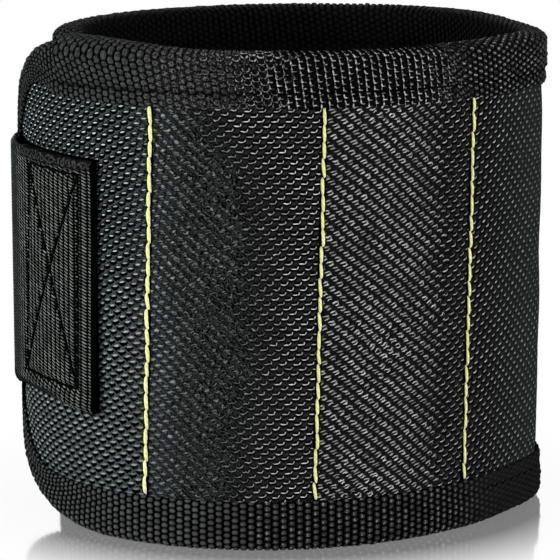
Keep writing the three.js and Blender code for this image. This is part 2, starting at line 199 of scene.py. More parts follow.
def strap_top(s):
    """The sewn strap's upper edge, which slopes a little and dips where it turns round the tongue."""
    turn = (1 - smooth(12, 18, s)) * smooth(-16, -7, s)
    return STRAP_HIGH - STRAP_SLOPE * (np.maximum(s, SLOPE_FROM) - SLOPE_FROM) - TURN_DIP * turn


def strap_low(s):
    """The strap's lower edge, which hangs where it turns round the tongue and at its sewn corner."""
    turn = (1 - smooth(8, 16, s)) * smooth(-16, -7, s)
    return STRAP_LOW - TURN_HANG * turn - CORNER_HANG * smooth(CORNER_FROM, STRAP_SEWN, s)


def outside_strap(s, z):
    """Distance out from the sewn strap's outline, below zero on it."""
    return np.maximum(np.maximum(strap_low(s) - z, z - strap_top(s)), s - STRAP_SEWN)


def from_line(s, z):
    """Distance to the nearest sewn divider."""
    return np.min([np.abs(s - line_at(k, z)) for k in range(len(DIVIDERS))], axis=0)


def from_rim(s, z):
    """Distance in from the band's outline."""
    w = np.minimum.reduce([z, BAND_HEIGHT - z, s, BAND_LENGTH - s])
    for (cs, cz, a, b), along, up in CORNERS:
        x, y = (s - cs) / a, (z - cz) / b
        rho = np.maximum(np.hypot(x, y), 1e-6)
        slope = np.maximum(np.hypot(x / a, y / b) / rho, 1e-6)
        inside = ((s - cs) * along > 0) & ((z - cz) * up > 0)
        w = np.where(inside, np.minimum(w, (1 - rho) / slope), w)
    return w


def cloth_edges(s):
    """Lowest and highest z of shell and lining at s."""
    low, high = CLOTH_INSET, BAND_HEIGHT - CLOTH_INSET
    for (cs, cz, a, b), along, up in CORNERS:
        across = (s - cs) * along
        rise = (b - CLOTH_INSET) * dome(across / (a - CLOTH_INSET))
        if up > 0:
            high = np.where(across > 0, cz + rise, high)
        else:
            low = np.where(across > 0, cz - rise, low)
    return low, high


# Making pieces
def put(name, data):
    """Adds an object to the scene."""
    made = bpy.data.objects.new(name, data)
    scene.collection.objects.link(made)
    return made


def piece(name, points, faces, maps, material, angle=50):
    """A mesh piece, in metres, with maps of flat-pattern millimetres for its weave."""
    mesh = bpy.data.meshes.new(name)
    mesh.from_pydata(points.reshape(-1, 3).tolist(), [], faces)
    corner = np.zeros(len(mesh.loops), np.int32)
    mesh.loops.foreach_get("vertex_index", corner)
    for map_name, uv in maps.items():
        layer = mesh.uv_layers.new(name=map_name)
        layer.data.foreach_set("uv", uv.reshape(-1, 2)[corner].astype(np.float32).ravel())
    mesh.materials.append(material)
    mesh.polygons.foreach_set("use_smooth", np.ones(len(mesh.polygons), bool))
    mesh.set_sharp_from_angle(angle=math.radians(angle))
    return put(name, mesh)


def grid_faces(n, m, start=0, flip=False, wrap_m=False):
    """Quads of an n by m grid of points."""
    index = start + np.arange(n * m).reshape(n, m)
    right = np.roll(index, -1, 1) if wrap_m else index[:, 1:]
    left = index if wrap_m else index[:, :-1]
    quads = np.stack([left[:-1], left[1:], right[1:], right[:-1]], -1).reshape(-1, 4)
    return quads[:, ::-1] if flip else quads


def slab(stations, rows, edges, outer, inner):
    """A closed slab of the flat pattern: its points, faces and map.

    Its lower and upper edges are given as z, for all stations or for each. Its outer and inner faces are
    given as d, by a number or by a function of s and z.
    """
    low, high = [np.reshape(edge, (-1, 1)) for edge in edges]
    s, z = np.broadcast_arrays(stations[:, None], low + (high - low) * np.linspace(0, 1, rows))
    n, m = s.shape
    depths = [face(s, z) if callable(face) else face for face in (outer, inner)]
    points = np.concatenate([wrap(s, z, d).reshape(-1, 3) for d in depths])
    index = np.arange(n * m).reshape(n, m)
    ring = np.concatenate([index[:-1, 0], index[-1, :-1], index[:0:-1, -1], index[0, :0:-1]])
    back = ring + n * m
    walls = np.stack([ring, back, np.roll(back, -1), np.roll(ring, -1)], -1)
    faces = np.concatenate([grid_faces(n, m), grid_faces(n, m, n * m, flip=True), walls])
    flat = np.stack([s, z], -1).reshape(-1, 2)
    return points, faces.tolist(), {"cloth": np.concatenate([flat, flat])}


def strands(runs, radii, name, material, sides=8, along=9, blunt=0.5):
    """Sewn stitches, each from one needle hole to the next.

    A run holds s and z of both holes, then d at its middle and at its ends.
    """
    points, faces, flat = [], [], []
    t = np.linspace(-1, 1, along)
    angle = np.linspace(0, 2 * math.pi, sides, endpoint=False)
    taper = np.sqrt(np.clip(1 - (1 - blunt) * np.abs(t) ** 3, 0, 1))
    taper[[0, -1]] *= 0.55
    for k, (s0, z0, s1, z1, top, hole) in enumerate(runs):
        length = math.hypot(s1 - s0, z1 - z0)
        ds, dz = (s1 - s0) / length, (z1 - z0) / length
        swell = (taper * (1 + 0.04 * random.normal(size=along)))[:, None]
        bow = 0.05 * random.normal() * (1 - t * t)
        height = hole + (top - hole) * (1 - np.abs(t) ** 4)
        s = (s0 + s1) / 2 + t * (s1 - s0) / 2
        z = (z0 + z1) / 2 + t * (z1 - z0) / 2
        across = radii[0] * swell * np.cos(angle) + bow[:, None]
        up = radii[1] * swell * np.sin(angle)
        rings = wrap(s[:, None] - across * dz, z[:, None] + across * ds, height[:, None] + up)
        points.append(rings.reshape(-1, 3))
        places = np.broadcast_arrays(t[:, None] * length / 2 + THREAD_STEP * k, angle / (2 * math.pi))
        flat.append(np.stack(places, -1).reshape(-1, 2))
        start = k * along * sides
        faces += grid_faces(along, sides, start, wrap_m=True, flip=True).tolist()
        faces.append(list(range(start, start + sides)))
        last = start + (along - 1) * sides
        faces.append(list(range(last + sides - 1, last - 1, -1)))
    return piece(name, np.concatenate(points), faces, {"cloth": np.concatenate(flat)}, material, 80)


# Materials, from nodes only
def math_method(operation):
    """A method of Value that adds a Math node."""

    def method(self, other=0.0):
        return self.graph.math(operation, self, other)

    return method


class Value:
    """A node's output, with arithmetic that adds Math nodes."""

    def __init__(self, graph, socket):
        self.graph, self.socket = graph, socket

    __add__ = __radd__ = math_method("ADD")
    __mul__ = __rmul__ = math_method("MULTIPLY")
    __sub__ = math_method("SUBTRACT")
    __truediv__ = math_method("DIVIDE")
    __pow__ = math_method("POWER")
    __abs__ = math_method("ABSOLUTE")
    floor = math_method("FLOOR")
    sign = math_method("SIGN")
    at_least = math_method("MAXIMUM")
    above = math_method("GREATER_THAN")

    def __rsub__(self, other):
        return self.graph.math("SUBTRACT", other, self)

    def root(self):
        return self.graph.math("SQRT", self.at_least(0.0))

    def odd(self):
        return self.graph.math("FLOORED_MODULO", self, 2.0)

    def wave(self):
        """A wave from 0 to 1 that repeats at each whole number."""
        return self.graph.math("SINE", self * (2 * math.pi)) * 0.5 + 0.5

    def split(self):
        """The whole number below, and the place past it from the middle of its step."""
        whole = self.floor()
        return whole, self - whole - 0.5

    def ease(self, low, high):
        """Eases from 0 at low to 1 at high."""
        inputs = {"Value": self, "From Min": low, "From Max": high}
        return self.graph.node("ShaderNodeMapRange", inputs, interpolation_type="SMOOTHSTEP")


class Graph:
    """A tree of nodes that is being added to."""

    def __init__(self, tree):
        self.tree = tree

    def feed(self, socket, value):
        if isinstance(value, Value):
            self.tree.links.new(value.socket, socket)
        else:
            socket.default_value = value

    def node(self, kind, inputs=None, out=0, **settings):
        made = self.tree.nodes.new(kind)
        for key, value in settings.items():
            setattr(made, key, value)
        for key, value in (inputs or {}).items():
            self.feed(made.inputs[key], value)
        return Value(self, made.outputs[out])

    def math(self, operation, a, b=0.0):
        return self.node("ShaderNodeMath", {0: a, 1: b}, operation=operation)

    def first_two(self, vector):
        """The x and y of a vector."""
        outputs = self.node("ShaderNodeSeparateXYZ", {0: vector}).socket.node.outputs
        return Value(self, outputs[0]), Value(self, outputs[1])

    def flat(self, name="cloth"):
        """The flat pattern's own coordinates, in millimetres."""
        return self.first_two(self.node("ShaderNodeUVMap", uv_map=name))

    def in_space(self):
        """The place on the piece, in metres."""
        return self.node("ShaderNodeTexCoord", out=3)

    def join(self, x, y):
        return self.node("ShaderNodeCombineXYZ", {0: x, 1: y})

    def noise(self, where, scale, detail=2.0, rough=0.5):
        inputs = {"Vector": where, "Scale": scale, "Detail": detail, "Roughness": rough}
        return self.node("ShaderNodeTexNoise", inputs)

    def hash(self, where):
        return self.node("ShaderNodeTexWhiteNoise", {"Vector": where}, noise_dimensions="2D")

    def mix(self, factor, a, b):
        return self.node("ShaderNodeMix", {0: factor, 6: a, 7: b}, out=2, data_type="RGBA")

    def ray(self, kind):
        """One on rays of a kind, and nothing on others."""
        return self.node("ShaderNodeLightPath", out=f"Is {kind} Ray")

    def seen(self):
        """One on rays that reach the eye, straight, mirrored or through glass, and nothing on others."""
        return self.ray("Camera").at_least(self.ray("Glossy")).at_least(self.ray("Transmission"))


class Material(Graph):
    """One material: a Principled shader and the nodes that feed it."""

    def __init__(self, name, **constants):
        self.made = bpy.data.materials.new(name)
        self.made.use_nodes = True
        super().__init__(self.made.node_tree)
        self.shader = self.tree.nodes["Principled BSDF"]
        for socket, value in constants.items():
            self.shader.inputs[socket.replace("_", " ")].default_value = value

    def finish(self, colour, rough=None, height=None, depth=0.3):
        """Joins colour, roughness and a height in shares of a depth in millimetres to the shader."""
        self.feed(self.shader.inputs["Base Color"], colour)
        if rough is not None:
            self.feed(self.shader.inputs["Roughness"], rough)
        if height is not None:
            inputs = {"Height": height, "Distance": depth / 1000, "Strength": 1.0}
            self.feed(self.shader.inputs["Normal"], self.node("ShaderNodeBump", inputs))
        return self.made

    def surface(self, factor, a, b):
        """Shows shader b by a factor in place of shader a."""
        return self.node("ShaderNodeMixShader", {0: factor, 1: a, 2: b})

    def show(self, surface):
        """Puts a mixed shader in place of the Principled one, and gives the material."""
        self.feed(self.tree.nodes["Material Output"].inputs["Surface"], surface)
        return self.made


def grey(value, warm=0.0):
    return (value * (1 + warm), value, value * (1 - warm), 1.0)


def spot(x, y, half_x, half_y):
    """A soft oval: one at its middle and nothing from its edge outward."""
    return (1.0 - (x / half_x) ** 2.0 - (y / half_y) ** 2.0).ease(0.0, 0.6)


def square_to_lines(s, z):
    """Place along the band, measured so that each leaning divider keeps one value."""
    return s - (z - MID_HEIGHT) * LINE_LEAN


def over_strap(s, z):
    """Height over the sloping line of the sewn strap's upper edge."""
    return z + (s - SLOPE_FROM) * STRAP_SLOPE - STRAP_HIGH


def plain_weave(g, u, v):
    """Plain weave, in which each place belongs to the nearest crossing where the paler yarn lies on top.

    Gives x and y from that crossing, a random number for it, and the dark yarn's height where it is on top.
    """
    i, x = u.split()
    j, y = v.split()
    warp_over = (i + j).odd()
    brick = (1.0 - (x * 2.0) ** 2.0 * 0.94).root() * (1.0 - (y * 1.2) ** 2.0).root() * warp_over
    sideways = abs(x).above(abs(y))
    over_x = warp_over * sideways * x.sign()
    over_y = warp_over * (1.0 - sideways) * y.sign()
    return x - over_x, y - over_y, g.hash(g.join(i + over_x, j + over_y)), brick


def shell_light_zones(g, s, z, cell):
    """How much each kind of dash counts, by place along the band: the kinds are painted highlights, which
    differ as the light falls along the band.
    """
    upright = square_to_lines(s, z)
    zone = s + (g.noise(g.join(s, z), 0.10, 2.0) - 0.5) * 7.0 + (cell - 0.5) * 3.0
    past = upright.above(DIVIDERS[1] + LINE_SHIFT)
    near_rims = z.ease(62.0, 82.0) * 9.0 + z.ease(38.0, 14.0) * 3.0
    at = SimpleNamespace()
    at.tongue = 1.0 - zone.ease(*TONGUE_FADES)
    at.hooked = (zone + near_rims).above(HOOKS_BEGIN) * (1.0 - past)
    at.hooks_in = (s + near_rims).ease(*HOOKS_GROW)
    at.side = zone.above(SIDE_BEGINS)
    at.doubled = past * (1.0 - at.side)
    at.single = s.ease(*PAIRS_THIN)
    at.dull = 1.0 - at.tongue - at.hooked - at.doubled - at.side
    at.beyond = upright.above(DIVIDERS[2] + LINE_SHIFT)
    at.far = s.ease(*FAR_SIDE)
    at.low = z.ease(58.0, 24.0)
    return at


def shell_dashes(x, y, cell, at):
    """The paler yarn's dashes, each kind in its own zone: their hooks, pairs, specks, nicks and slants are
    painted glints of light on the yarn.
    """
    pill = spot(x, y - x * 0.24 - 0.10, 0.44, 0.20)
    plump = spot(x, y - x * 0.20 - 0.16, 0.54, 0.30)
    pill = pill * (1.0 - at.low) + plump * at.low
    hook = spot(x + 0.05, y + 0.18 - x * x * 0.3, 0.50, 0.13)
    hook = hook.at_least(spot(x - 0.42 - y * 0.15, y - 0.10, 0.10, 0.36) * 0.8)
    speck = spot(x + 0.12, y - x * 0.18 - 0.26, 0.40, 0.18) * (0.5 + cell * 0.7)
    speck = speck.at_least(spot(x - 0.22, y - x * 0.18 + 0.34, 0.34, 0.17) * (1.3 - cell))
    pair = spot(x + 0.14, y - x * 0.45 - 0.30, 0.48, 0.18)
    pair = pair.at_least(spot(x - 0.20, y - x * 0.45 + 0.38, 0.42, 0.18) * (1.0 - at.single))
    pair = pair.at_least(spot(x - 0.30, y - 0.03, 0.12, 0.26) * cell * 0.7)
    nick = spot(x + 0.03, y - x * 0.28, 0.44, 0.15).at_least(spot(x - 0.35, y - 0.26, 0.10, 0.26) * 0.7)
    slant = spot(x + 0.04, y - x * 0.40, 0.33, 0.20).at_least(spot(x - 0.20, y - 0.24, 0.11, 0.22) * 0.75)
    dot = spot(x, y - x * 0.2, 0.34, 0.34)
    slant = slant * (1.0 - at.far) + dot * at.far
    dash = pill * at.tongue + hook * at.hooked + speck * at.dull + pair * at.doubled
    return dash + (nick * (1.0 - at.beyond) + slant * at.beyond) * at.side


def shell_yarn(g, x, y, place, brick, at):
    """The dark yarn's colour, painted lighter or darker by zone as the light falls: lit bluish grey on the
    tongue, dull grey in the first column, paler halos and lit brick tops further on, flat grey at the far
    side. Also how open the gaps beside the dashes are, each painted black as its dash's shadow.
    """
    fibre = g.noise(place, 2.4, 2.0)
    grain = (x * 1.5 + y * 1.1).wave() * 0.45 + fibre * 0.55
    lit_bluish = g.mix(grain.ease(0.2, 0.8), (0.014, 0.017, 0.0175, 1), (0.084, 0.102, 0.105, 1))
    dull_lit = g.mix(grain.ease(0.36, 0.78), grey(0.0012), (0.036, 0.039, 0.038, 1))
    black = g.mix(grain, grey(0.0014), grey(0.011))
    yarn = g.mix(at.tongue, black, lit_bluish)
    # Painted sheen: a paler halo round the doubled dashes
    halo_sheen = spot(x, y - x * 0.5, 0.70, 0.75)
    yarn = g.mix(halo_sheen * at.doubled * (0.6 - at.single * 0.5), yarn, grey(0.026))
    yarn = g.mix(at.dull + at.hooked * (1.0 - at.hooks_in), yarn, dull_lit)
    full_hooks = at.hooked * at.hooks_in
    # Painted light: lit tops on the bricks in the hooked and side zones
    rounded = brick.ease(0.25, 0.9) * (full_hooks + at.doubled * 0.15 + at.side) * (1.0 - at.far)
    yarn = g.mix(rounded * 0.7, yarn, g.mix(fibre, grey(0.008), grey(0.042)))
    # Painted shadow: a black gap below each dash, where its shade falls
    dash_shadow = spot(x - 0.03, y - x * 0.24 + 0.14 + at.low * 0.26, 0.90, 0.80)
    gap = dash_shadow * (at.tongue * 0.5 + 0.5 + full_hooks * 0.35 + at.side * 0.3 - at.dull * 0.35)
    yarn = g.mix(gap, yarn, grey(0.0006))
    # Painted light: a flat grey over the far side
    return g.mix(at.far * (1.0 - gap * 0.5), yarn, (0.025, 0.031, 0.0305, 1)), gap


def shell_shade(g, s, z, colour):
    """Paints shade on the sunk cloth beside the sewn dividers, and the strap's shadow beside, above and
    below it.
    """
    along = (square_to_lines(s, z) - DIVIDERS[0] - LINE_SHIFT) / DIVIDER_SPACING + 0.5
    off_line = abs(along.split()[1]) * DIVIDER_SPACING
    has_lines = s.ease(38.0, 44.0) * s.ease(222.0, 212.0)
    colour = g.mix(off_line.ease(0.75, 0.42) * has_lines, colour, grey(0.0006))
    strap_edge = STRAP_LOW - s.ease(CORNER_FROM, STRAP_SEWN) * CORNER_HANG
    beside = (s - STRAP_SEWN + 0.2).at_least(over_strap(s, z)).at_least((strap_edge - z) * 9.0)
    colour = g.mix(beside.ease(0.7, 0.1), colour, grey(0.0005))
    below = (strap_edge - z).at_least((s - STRAP_SEWN + 1.0) * 3.0)
    return g.mix(below.ease(0.9, 0.5) * z.ease(40.0, 30.0), colour, (0.011, 0.0135, 0.013, 1))


def shell_cloth():
    """Coarse plain weave: dark upright yarns, with paler crossing yarns that show as short dashes.

    The dashes are full on the tongue, dull in the first column, thin and hooked beside the second divider,
    doubled past it and slight round the side. The paler yarn is the cloth's own, but these kinds and their
    brightness are painted highlights, laid by place along the band, for the cloth has no specular sheen of
    its own.
    """
    g = Material("shell_cloth", Specular_IOR_Level=0.0)
    s, z = g.flat()
    place = g.join(s, z)
    sway = g.noise(place, 0.09, 1.0) - 0.5
    roll = g.noise(g.join(s + 400.0, z), 0.11, 1.0) - 0.5
    u = (s - z * WARP_LEAN + sway * 0.9) / WARP_PITCH
    v = (z + s * WEFT_FALL + roll * 0.7) / WEFT_PITCH
    x, y, cell, brick = plain_weave(g, u, v)
    at = shell_light_zones(g, s, z, cell)
    patchiness = g.noise(place, 0.06, 3.0)
    stray = at.tongue * 0.16 + at.dull * 1.6 + at.side * 0.3
    stray = stray + at.hooked * (0.9 - at.hooks_in * 0.65)
    stray = stray + at.doubled * (0.45 + patchiness.ease(0.48, 0.68) * 0.6)
    x = x + (g.noise(place, 1.1, 1.0) - 0.5) * stray
    y = y + (g.noise(g.join(s, z + 200.0), 1.3, 1.0) - 0.5) * stray

    dash = shell_dashes(x, y, cell, at)
    yarn, gap = shell_yarn(g, x, y, place, brick, at)
    # Painted highlight: the dashes' brightness, set by zone and by patches and dimmed at the far side
    bright = at.tongue * (0.48 - at.low * 0.20) + at.hooked * (0.10 + at.hooks_in * 0.58)
    bright = bright + at.doubled * 0.46 + at.side * 0.46 + at.dull * 0.15
    bright = bright * (0.55 + cell * 0.65) * (0.7 + patchiness * 0.6) * (1.0 - at.far * 0.66)
    pale = g.node("ShaderNodeCombineColor", {0: bright * (0.99 - at.tongue * 0.05), 1: bright, 2: bright})
    colour = shell_shade(g, s, z, g.mix(dash, yarn, pale))
    return g.finish(colour, 0.6 - dash * 0.1, brick.at_least(dash * 1.1) - gap * 0.4, 0.26)


def tape_light_zones(g, s, z, cell):
    """How much each look of the tape counts, by place along the band: its rings, lines, flecks and strokes
    are painted highlights, and the dark knots under them painted shade.
    """
    zone = s + (g.noise(g.join(s, z), 0.16, 2.0) - 0.5) * 6.0
    switched = zone + (cell - 0.5) * 6.0
    past = switched.above(LINES_BEGIN)
    flecks = switched.ease(*FLECKS_GROW)
    at = SimpleNamespace()
    at.upper = z.ease(30.0, 60.0)
    at.lower = 1.0 - at.upper
    at.ringed = switched.ease(*RINGS_GROW) * (1.0 - past) * at.upper
    at.speckled = zone.ease(*SPECKS_GROW) * (1.0 - past) * at.upper
    at.lined = past * (1.0 - flecks) * at.upper
    at.flecked = flecks * (1.0 - s.ease(128.0, 144.0) * 0.75) * at.upper
    at.stroked = s.ease(60.0, 74.0) * (1.0 - s.ease(108.0, 122.0)) * at.lower
    at.tilt = zone.ease(116.0, 124.0) * 0.55 - 0.25
    return at


def binding_tape():
    """Ribbed tape: staggered rows of small knots with deep grooves, painted near black as shade.

    Past the first divider the upper tape shows painted highlights: bright outlines round its knots, then
    bright threads between them, over knots painted dark as shade. The lower tape and the tape's end at the
    tongue are painted darker as shade too.
    """
    g = Material("binding_tape", Specular_IOR_Level=0.0)
    q, t = g.flat()
    s, z = g.flat("band")
    i, x = (q / KNOT_PITCH).split()
    v = t / KNOT_ROW + i.odd() * 0.5
    j, y = v.split()
    cell = g.hash(g.join(i, j))
    at = tape_light_zones(g, s, z, cell)
    wide, tall = abs(x * 2.0) ** 2.4, abs(y * 2.0) ** 2.4
    reach = wide + tall
    knot = (wide + tall * 0.76 + 0.08 + at.lower * 0.12).ease(1.0, 0.18)
    twist = (x * 3.0 + y * 1.4 + cell * 0.5).wave()
    fuzz = g.noise(g.join(q, t), 2.2, 2.0)
    grit = g.noise(g.join(q + 300.0, t), 3.0, 1.0)

    body = twist * 0.3 + fuzz * 0.4 + cell * 0.3
    body = g.mix(body, (0.018, 0.019, 0.0185, 1), (0.112, 0.118, 0.114, 1))
    # Painted shade on the middles of the upper knots
    body = g.mix(reach.ease(0.30, 0.02) * at.upper * 0.30, body, grey(0.010))
    body = g.mix(grit.ease(0.60, 0.38) * at.upper * 0.62, body, grey(0.008))
    body = g.mix(at.speckled * 0.9, body, g.mix(grit.ease(0.40, 0.62), grey(0.0015), grey(0.13)))
    # Painted shade: the knots go dark where the painted highlights show
    body = g.mix(at.ringed + at.lined + at.flecked * 0.6, body, grey(0.0035))
    # Painted shade over the lower tape, where its strokes show and towards its far end
    body = g.mix(at.stroked * 0.45, body, grey(0.005))
    body = g.mix(s.ease(104.0, 126.0) * at.lower * 0.85, body, grey(0.007))
    # Painted shade at the tape's end on the tongue
    body = g.mix(s.ease(9.0, 5.0), body, grey(0.003))
    # Painted shade: the grooves between knots near black, and a smooth dark band over the lower tape's far
    # end
    colour = g.mix(knot.at_least(at.speckled * 0.2), grey(0.0005), body)
    colour = g.mix(s.ease(106.0, 124.0) * at.lower * 0.75, colour, (0.0135, 0.014, 0.0135, 1))
    seam = abs(t - 2.75).ease(0.6, 0.2) * s.ease(24.0, 32.0) * at.upper
    colour = g.mix(seam * 0.5, colour, grey(0.0006))

    # Painted highlights: rings round the knots, lines and ticks between them, flecks and strokes
    ring = reach.ease(0.28, 0.50) * reach.ease(1.10, 0.80) * (0.35 + y.ease(0.4, -0.3) * 0.65)
    line = abs(x + v.wave() * 0.1 - 0.05).ease(0.40, 0.475)
    tick = abs(y).ease(0.36, 0.46) * (x + cell * 0.3).ease(0.10, 0.30)
    fleck = spot(x, y + x * at.tilt, 0.40, 0.17)
    stroke = spot(x + 0.08, y, 0.15, 0.42)
    bright = ring * at.ringed * 0.28 + line.at_least(tick * 0.9) * at.lined * 0.37
    bright = bright + fleck * at.flecked * 0.20 + stroke * at.stroked * 0.14
    bright = bright * (0.10 + grit.ease(0.30, 0.70) * 1.6) * (0.6 + cell * 0.6)
    pale = g.node("ShaderNodeCombineColor", {0: bright, 1: bright, 2: bright * 0.98})
    colour = g.mix(bright.ease(0.02, 0.20), colour, pale)
    # Painted shade on the inside leg of the tape
    inside = t.ease(12.6, 15.0)
    colour = g.mix(inside, colour, g.mix(knot, grey(0.0036), grey(0.0085)))
    return g.finish(colour, 0.62 + fuzz * 0.16, knot + fuzz * 0.06 + bright * 0.2, 0.30)


def lining_mesh():
    """Dark knitted lining: fine upright ribs with a row of small holes between them."""
    g = Material("lining_mesh", Specular_IOR_Level=0.0)
    s, z = g.flat()
    i, x = (s / KNIT_PITCH).split()
    y = (z / KNIT_ROW + i.odd() * 0.5).split()[1]
    rib = (1.0 - (x * 2.0) ** 2.0).root()
    hole = ((x * 1.5) ** 2.0 + (y * 1.3) ** 2.0).root().ease(0.30, 0.48)
    fuzz = g.noise(g.join(s, z), 1.7, 3.0)
    colour = g.mix(hole, grey(0.0020), g.mix(fuzz, grey(0.0080), grey(0.0230)))
    return g.finish(colour, 0.85 + fuzz * 0.12, rib * 0.5 + hole * 0.5 + fuzz * 0.15, 0.35)


def webbing():
    """Strap webbing: upright ribs, each a chain of short slanting strokes, with its end face painted black
    as shade.
    """
    g = Material("webbing", Specular_IOR_Level=0.0)
    s, z = g.flat()
    place = g.join(s, z)
    sway = g.noise(place, 0.6, 2.0) - 0.5
    i, x = (s / RIB_PITCH).split()
    j, y = ((z + x * 0.62 + sway * 0.2) / RIB_STROKE + i.odd() * 0.5).split()
    cell = g.hash(g.join(i, j))
    fuzz = g.noise(place, 1.2, 2.0)
    patch = g.noise(place, 0.16, 2.0)
    stroke = spot(x, y, 0.46, 0.31)
    top = cell * 0.42 + fuzz * 0.26 + 0.14
    top = g.mix(top, (0.010, 0.0115, 0.010, 1), (0.31, 0.328, 0.303, 1))
    top = g.mix(patch.ease(0.35, 0.75) * 0.40, top, (0.026, 0.028, 0.026, 1))
    colour = g.mix(stroke, grey(0.0010), top)

    # Curled loops along the upper edge
    bend = g.noise(g.join(s, z + 90.0), 0.7, 2.0) - 0.5
    rise = over_strap(s, z)
    curl_x = ((s + bend * 2.6) / 1.6).split()[1]
    curl_y = ((rise + sway * 1.2) / 1.7).split()[1]
    curl = ((curl_x * 2.0) ** 2.0 + (curl_y * 2.0) ** 2.0 + sway * 0.6).root()
    loop = curl.ease(0.35, 0.55) * curl.ease(0.95, 0.70)
    border = rise.ease(-2.0, -1.6) * s.ease(14.0, 18.0)
    colour = g.mix(border, colour, g.mix(loop * fuzz * 1.5, grey(0.007), grey(0.07, 0.02)))

    # Painted shade: on the strap's end face, along its smooth lower edge and on the bend round the tongue
    end_shade = s.ease(STRAP_SEWN - 0.35, STRAP_SEWN - 0.15)
    colour = g.mix(end_shade, colour, grey(0.0006))
    smooth_edge_shade = z.ease(STRAP_LOW + 1.3, STRAP_LOW + 0.9) * s.ease(33.0, 25.0)
    smooth_edge_shade = smooth_edge_shade.at_least(s.ease(15.5, 12.5) * s.ease(5.0, 9.0) * 0.75)
    colour = g.mix(smooth_edge_shade, colour, (0.010, 0.0125, 0.012, 1))
    rib = (1.0 - (x * 2.0) ** 2.0 * 0.97).root()
    return g.finish(colour, 0.62 + fuzz * 0.18, rib * (stroke * 0.5 + 0.5) + loop * border, 0.30)


def thread(name, low, high, shine):
    """Twisted sewing thread: its plies wind round it."""
    g = Material(name, Specular_IOR_Level=shine)
    length, turn = g.flat()
    ply = (length / 1.1 + turn * 2.0).wave()
    fibre = g.noise(g.join(length, turn * 3.0), 3.0, 2.0)
    stitch = g.hash(g.join((length / THREAD_STEP + 0.5).floor(), 0.0))
    colour = g.mix(ply * 0.5 + fibre * 0.3 + stitch * 0.25, low, high)
    return g.finish(colour, 0.45 + fibre * 0.2, ply * 0.7 + fibre * 0.3, 0.08)


def hook_tape():
    """The hook patch's ribbed backing and its hooks."""
    g = Material("hook_tape", Specular_IOR_Level=0.3)
    s, z = g.flat()
    fuzz = g.noise(g.join(s, z), 2.2, 2.0)
    mixed = (s / HOOK_PITCH).wave() * 0.5 + fuzz * 0.5
    return g.finish(g.mix(mixed, grey(0.004), grey(0.018)), 0.38 + fuzz * 0.2, mixed, 0.15)


def loop_tape():
    """Brushed loop pile."""
    g = Material("loop_tape", Specular_IOR_Level=0.12)
    s, z = g.flat()
    swirl = g.noise(g.join(s, z), 0.5, 2.0) - 0.5
    pile = g.noise(g.join(s + swirl * 3.0, z + swirl * 2.0), 3.2, 3.0, 0.65)
    tuft = g.node("ShaderNodeTexVoronoi", {"Vector": g.join(s + swirl, z - swirl), "Scale": 1.1})
    height = pile * 0.7 + tuft * 0.6
    colour = g.mix(height.ease(0.25, 0.95), grey(0.003), grey(0.022))
    return g.finish(colour, 0.85 + pile * 0.12, height, 0.6)


def magnet_metal():
    """Bright plating."""
    g = Material("magnet_metal", Metallic=1.0)
    place = g.in_space()
    grain = g.noise(place, 900.0, 3.0)
    patch = g.noise(place, 120.0, 2.0)
    return g.finish(g.mix(patch, grey(0.50), grey(0.66)), 0.24 + grain * 0.18, grain, 0.02)


SHELL, TAPE, LINING, WEBBING = shell_cloth(), binding_tape(), lining_mesh(), webbing()
HOOK, LOOP, METAL = hook_tape(), loop_tape(), magnet_metal()
YELLOW = thread("yellow_thread", (0.62, 0.63, 0.17, 1), (0.92, 0.94, 0.46, 1), 0.2)
BLACK = thread("black_thread", grey(0.0008), grey(0.004), 0.0)


# Each stretch of the band: the bodies that it bends between, and where
FOLDS = {
    "tongue": ("strap_end", "front_panel", DIVIDERS[0]),
    "front": ("front_panel", "side_panel", DIVIDERS[2]),
    "side": ("side_panel", "loop_end", DIVIDERS[4]),
}


def carry(made, stretch, slot, *nodes):
    """Attaches a piece to its stretch's body, or leaves a piece of a bending stretch unattached where it
    lies, and hides the solids that it stands for.
    """
    if stretch in FOLDS:
        a, b, fold = FOLDS[stretch]
        start, end = wrap(fold - FOLD_HALF, MID_HEIGHT, 0), wrap(fold + FOLD_HALF, MID_HEIGHT, 0)
        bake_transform(made)
    else:
        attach(made, stretch)
    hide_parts(*nodes)
    return made


# Padded shell and lining
def shell_face(s, z):
    near, rim, off_strap = from_line(s, z), from_rim(s, z), outside_strap(s, z)
    quilt = QUILT_HIGH * (1 - np.exp(-near / QUILT_SPREAD)) - QUILT_SUNK
    pucker = 0.07 * np.cos(2 * math.pi * z / STITCH) * np.exp(-near / 2.2)
    drift = 0.10 * np.sin(0.31 * s + 1.3) * np.sin(0.21 * z + 0.4) + 0.06 * np.sin(0.47 * s - 0.36 * z)
    free = smooth(9.0, 15.0, rim) * smooth(0.0, 5.0, off_strap) * (1 - smooth(206.0, 214.0, s))
    padded = quilt + (0.12 + pucker + drift) * free
    pressed = 0.40 * (1 - smooth(-0.5, 2.4, off_strap))
    tucked = 0.9 * (1 - smooth(1.0, 5.0, rim))
    return np.where(free > 0, padded, np.minimum(quilt, 0.12)) - pressed - tucked - 0.1 * (1 - free)


def lining_face(s, z):
    quilt = LINING_FACE + 0.55 * np.exp(-from_line(s, z) / 2.6)
    drift = 0.06 * np.sin(0.27 * s + 0.3) * np.sin(0.19 * z)
    return quilt + drift + 0.8 * (1 - smooth(1.0, 5.0, from_rim(s, z)))


